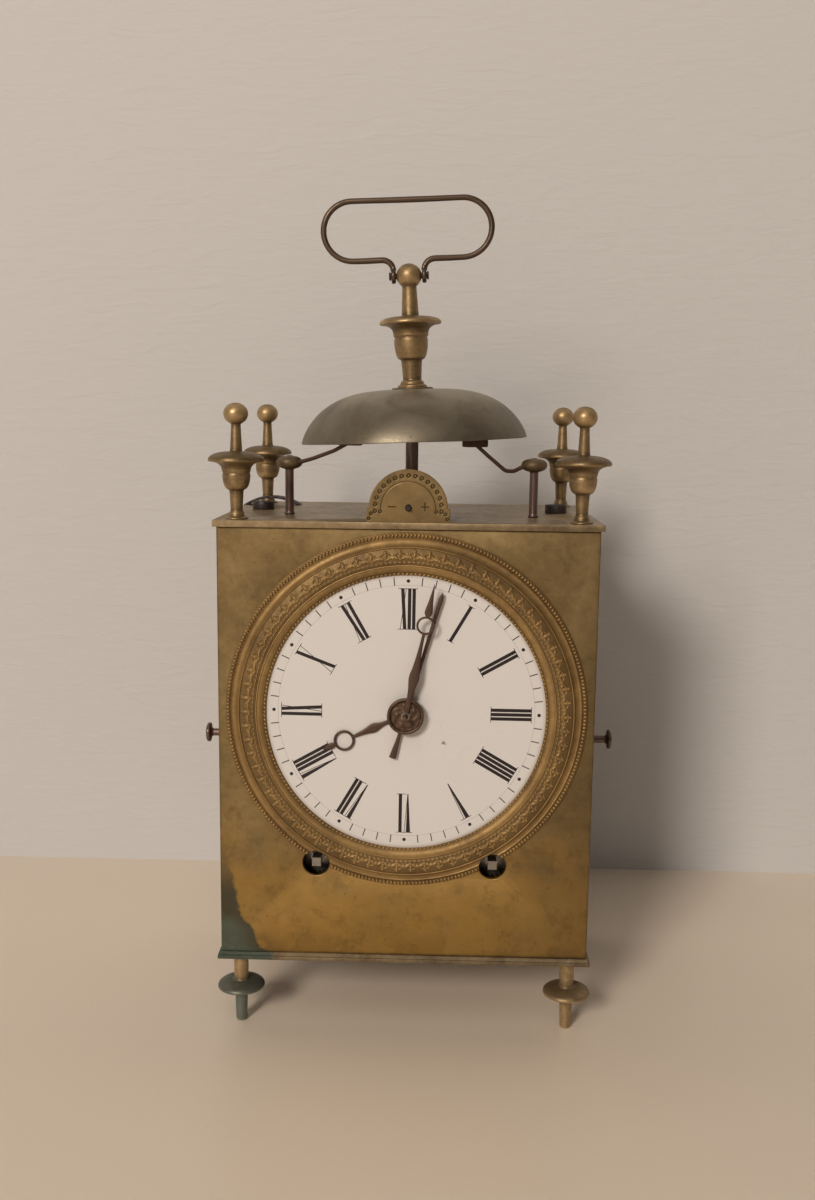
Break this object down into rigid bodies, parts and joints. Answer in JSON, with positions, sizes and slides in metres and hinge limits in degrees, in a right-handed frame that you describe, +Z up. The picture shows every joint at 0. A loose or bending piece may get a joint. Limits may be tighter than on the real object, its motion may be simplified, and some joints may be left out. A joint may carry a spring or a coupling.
{
  "type": "carriage clock",
  "caption": "Brass box carriage clock with a round enamel dial, side doors, turned feet and finials, a bell with hammers, a wire bail and a pendulum movement.",
  "frame": {"origin": "on the table, under the middle of the whole clock's outline", "axes": "+X to the right as seen from the dial side, +Y from the dial to the back, +Z up"},
  "size_m": [0.1526, 0.1018, 0.2977],
  "materials": {
    "case_brass": "aged rolled brass, mottled, with dark spots and a green patch at one corner",
    "dark_brass": "dull olive-grey tarnish",
    "bezel_brass": "stamped and gilt brass, worn",
    "turned_brass": "turned brass, dulled, with fine lathe rings",
    "dial_enamel": "warm white fired enamel with black numerals",
    "bell_metal": "grey-green high-tin bronze, pitted",
    "dark_steel": "black-brown oxidised steel",
    "hand_steel": "brown blued steel, rusted",
    "bail_steel": "brown-grey iron wire",
    "movement_brass": "brushed movement brass",
    "movement_steel": "polished arbor steel",
    "silk": "twisted silk thread"
  },
  "bodies": {
    "case": {"front_panel": "case_brass", "back_panel": "case_brass", "top_plate": "dark_brass", "base_plate": "case_brass", "case_pillars": "turned_brass", "finials": "turned_brass", "feet": "turned_brass", "bezel": "bezel_brass", "dial": "dial_enamel", "regulator_plate": "turned_brass", "top_plate_screws": "dark_steel", "bow_spring": "dark_steel", "bell_standard": "dark_steel", "bell": "bell_metal", "bell_washer": "dark_brass", "bell_finial": "turned_brass", "bail_pivot": "dark_steel", "door_pins": "dark_steel", "movement_front_plate": "movement_brass", "movement_back_plate": "movement_brass", "movement_pillars": "movement_brass", "suspension_cock": "movement_brass"},
    "bail": {"bail_handle": "bail_steel"},
    "left_side_door": {"left_door": "case_brass", "left_door_knob": "turned_brass"},
    "right_side_door": {"right_door": "case_brass", "right_door_knob": "turned_brass"},
    "strike_hammer_group": {"strike_hammer_arbor": "hand_steel", "strike_hammer": "hand_steel"},
    "alarm_hammer_group": {"alarm_hammer_arbor": "hand_steel", "alarm_hammer": "hand_steel"},
    "centre_group": {"centre_arbor": "movement_steel", "centre_wheel": "movement_brass", "minute_hand": "hand_steel", "hand_boss": "hand_steel"},
    "hour_group": {"hour_hand": "hand_steel", "hour_wheel": "movement_brass"},
    "minute_wheel_group": {"minute_wheel": "movement_brass"},
    "alarm_hand_group": {"alarm_hand": "hand_steel"},
    "regulator": {"regulator_arbor": "movement_steel"},
    "going_barrel_group": {"going_barrel": "movement_brass"},
    "going_arbor_group": {"going_winding_arbor": "movement_steel"},
    "going_click_group": {"going_click": "movement_steel"},
    "going_second_group": {"going_second_wheel": "movement_brass"},
    "third_group": {"third_wheel": "movement_brass"},
    "escape_group": {"escape_wheel": "movement_brass"},
    "anchor_group": {"anchor": "movement_steel"},
    "pendulum": {"pendulum_rod": "movement_steel", "pendulum_bob": "movement_brass", "suspension_silk": "silk"},
    "strike_barrel_group": {"strike_barrel": "movement_brass"},
    "strike_arbor_group": {"strike_winding_arbor": "movement_steel"},
    "strike_click_group": {"strike_click": "movement_steel"},
    "strike_second_group": {"strike_second_wheel": "movement_brass"},
    "pin_wheel_group": {"pin_wheel": "movement_brass"},
    "warning_group": {"warning_wheel": "movement_brass"},
    "fly_group": {"fly": "movement_brass"},
    "count_group": {"count_wheel": "movement_brass"},
    "alarm_barrel_group": {"alarm_barrel": "movement_brass"},
    "alarm_wheel_group": {"alarm_wheel": "movement_brass"}
  },
  "joints": [
    {"name": "bail_swing", "type": "hinge", "parent": "case", "child": "bail", "pos_m": [-0.00188, 0.00373, 0.26896], "axis": [0.999, 0, 0.0436], "range_deg": [-150, 150]},
    {"name": "left_door_hinge", "type": "hinge", "parent": "case", "child": "left_side_door", "pos_m": [-0.0635, 0.04442, 0.1], "axis": [0, 0, 1], "range_deg": [-95, 0]},
    {"name": "right_door_hinge", "type": "hinge", "parent": "case", "child": "right_side_door", "pos_m": [0.0635, 0.04442, 0.1], "axis": [0, 0, 1], "range_deg": [0, 95]},
    {"name": "strike_hammer_turn", "type": "hinge", "parent": "case", "child": "strike_hammer_group", "pos_m": [-0.0435, -0.01227, 0.202], "axis": [0, 0, 1], "range_deg": [-2, 14], "stiffness_Nm_per_rad": 0.01},
    {"name": "alarm_hammer_turn", "type": "hinge", "parent": "case", "child": "alarm_hammer_group", "pos_m": [0.044, -0.01227, 0.202], "axis": [0, 0, 1], "range_deg": [-14, 2], "stiffness_Nm_per_rad": 0.01},
    {"name": "centre_turn", "type": "hinge", "parent": "case", "child": "centre_group", "pos_m": [0, -0.04027, 0.118], "axis": [0, 1, 0], "continuous": true},
    {"name": "hour_turn", "type": "hinge", "parent": "case", "child": "hour_group", "pos_m": [0, -0.04027, 0.118], "axis": [0, 1, 0], "continuous": true},
    {"name": "minute_wheel_turn", "type": "hinge", "parent": "case", "child": "minute_wheel_group", "pos_m": [-0.0144, -0.03127, 0.118], "axis": [0, 1, 0], "continuous": true},
    {"name": "alarm_hand_set", "type": "hinge", "parent": "hour_group", "child": "alarm_hand_group", "pos_m": [0, -0.04428, 0.118], "axis": [0, 1, 0], "continuous": true},
    {"name": "regulator_turn", "type": "hinge", "parent": "case", "child": "regulator", "pos_m": [0, -0.01027, 0.1883], "axis": [0, 1, 0], "range_deg": [-360, 360]},
    {"name": "going_barrel_turn", "type": "hinge", "parent": "case", "child": "going_barrel_group", "pos_m": [0.031, -0.02028, 0.063], "axis": [0, 1, 0], "continuous": true},
    {"name": "going_winding_turn", "type": "hinge", "parent": "case", "child": "going_arbor_group", "pos_m": [0.031, -0.02028, 0.063], "axis": [0, 1, 0], "continuous": true},
    {"name": "going_click_lift", "type": "hinge", "parent": "case", "child": "going_click_group", "pos_m": [0.03675, -0.03127, 0.07296], "axis": [0, 1, 0], "range_deg": [-12, 0]},
    {"name": "going_second_turn", "type": "hinge", "parent": "case", "child": "going_second_group", "pos_m": [0.02007, -0.02028, 0.09308], "axis": [0, 1, 0], "continuous": true},
    {"name": "third_turn", "type": "hinge", "parent": "case", "child": "third_group", "pos_m": [0.01196, -0.02028, 0.13872], "axis": [0, 1, 0], "continuous": true},
    {"name": "escape_turn", "type": "hinge", "parent": "case", "child": "escape_group", "pos_m": [0, -0.02028, 0.15598], "axis": [0, 1, 0], "continuous": true},
    {"name": "pendulum_swing", "type": "hinge", "parent": "case", "child": "pendulum", "pos_m": [0, 0.02573, 0.1883], "axis": [0, 1, 0], "range_deg": [-3, 3]},
    {"name": "anchor_rock", "type": "hinge", "parent": "case", "child": "anchor_group", "pos_m": [0, -0.01027, 0.16958], "axis": [0, 1, 0], "range_deg": [-4.6, 4.6]},
    {"name": "pin_wheel_turn", "type": "hinge", "parent": "case", "child": "pin_wheel_group", "pos_m": [-0.03796, -0.02028, 0.1196], "axis": [0, 1, 0], "continuous": true},
    {"name": "strike_barrel_turn", "type": "hinge", "parent": "case", "child": "strike_barrel_group", "pos_m": [-0.031, -0.02028, 0.063], "axis": [0, 1, 0], "continuous": true},
    {"name": "strike_winding_turn", "type": "hinge", "parent": "case", "child": "strike_arbor_group", "pos_m": [-0.031, -0.02028, 0.063], "axis": [0, 1, 0], "continuous": true},
    {"name": "strike_click_lift", "type": "hinge", "parent": "case", "child": "strike_click_group", "pos_m": [-0.02525, -0.03127, 0.07296], "axis": [0, 1, 0], "range_deg": [-12, 0]},
    {"name": "strike_second_turn", "type": "hinge", "parent": "case", "child": "strike_second_group", "pos_m": [-0.02007, -0.02028, 0.09308], "axis": [0, 1, 0], "continuous": true},
    {"name": "warning_turn", "type": "hinge", "parent": "case", "child": "warning_group", "pos_m": [-0.02437, -0.02028, 0.13639], "axis": [0, 1, 0], "continuous": true},
    {"name": "fly_turn", "type": "hinge", "parent": "case", "child": "fly_group", "pos_m": [-0.0279, -0.02028, 0.15302], "axis": [0, 1, 0], "continuous": true},
    {"name": "count_turn", "type": "hinge", "parent": "case", "child": "count_group", "pos_m": [-0.02983, 0.01372, 0.10133], "axis": [0, 1, 0], "continuous": true},
    {"name": "alarm_barrel_turn", "type": "hinge", "parent": "case", "child": "alarm_barrel_group", "pos_m": [0.046, -0.02028, 0.117], "axis": [0, 1, 0], "continuous": true},
    {"name": "alarm_wheel_turn", "type": "hinge", "parent": "case", "child": "alarm_wheel_group", "pos_m": [0.046, -0.02028, 0.131], "axis": [0, 1, 0], "continuous": true}
  ],
  "couplings": [
    {"joint": "minute_wheel_turn", "follows": "centre_turn", "ratio": -0.33333},
    {"joint": "hour_turn", "follows": "centre_turn", "ratio": 0.083333},
    {"joint": "going_second_turn", "follows": "centre_turn", "ratio": -0.14286},
    {"joint": "going_barrel_turn", "follows": "centre_turn", "ratio": 0.020408},
    {"joint": "third_turn", "follows": "centre_turn", "ratio": -12},
    {"joint": "escape_turn", "follows": "centre_turn", "ratio": 138},
    {"joint": "strike_second_turn", "follows": "pin_wheel_turn", "ratio": -0.14286},
    {"joint": "strike_barrel_turn", "follows": "pin_wheel_turn", "ratio": 0.020408},
    {"joint": "warning_turn", "follows": "pin_wheel_turn", "ratio": -8},
    {"joint": "fly_turn", "follows": "pin_wheel_turn", "ratio": 60},
    {"joint": "count_turn", "follows": "pin_wheel_turn", "ratio": -0.11111},
    {"joint": "alarm_wheel_turn", "follows": "alarm_barrel_turn", "ratio": -6},
    {"joint": "anchor_rock", "follows": "pendulum_swing", "ratio": 1.532}
  ]
}
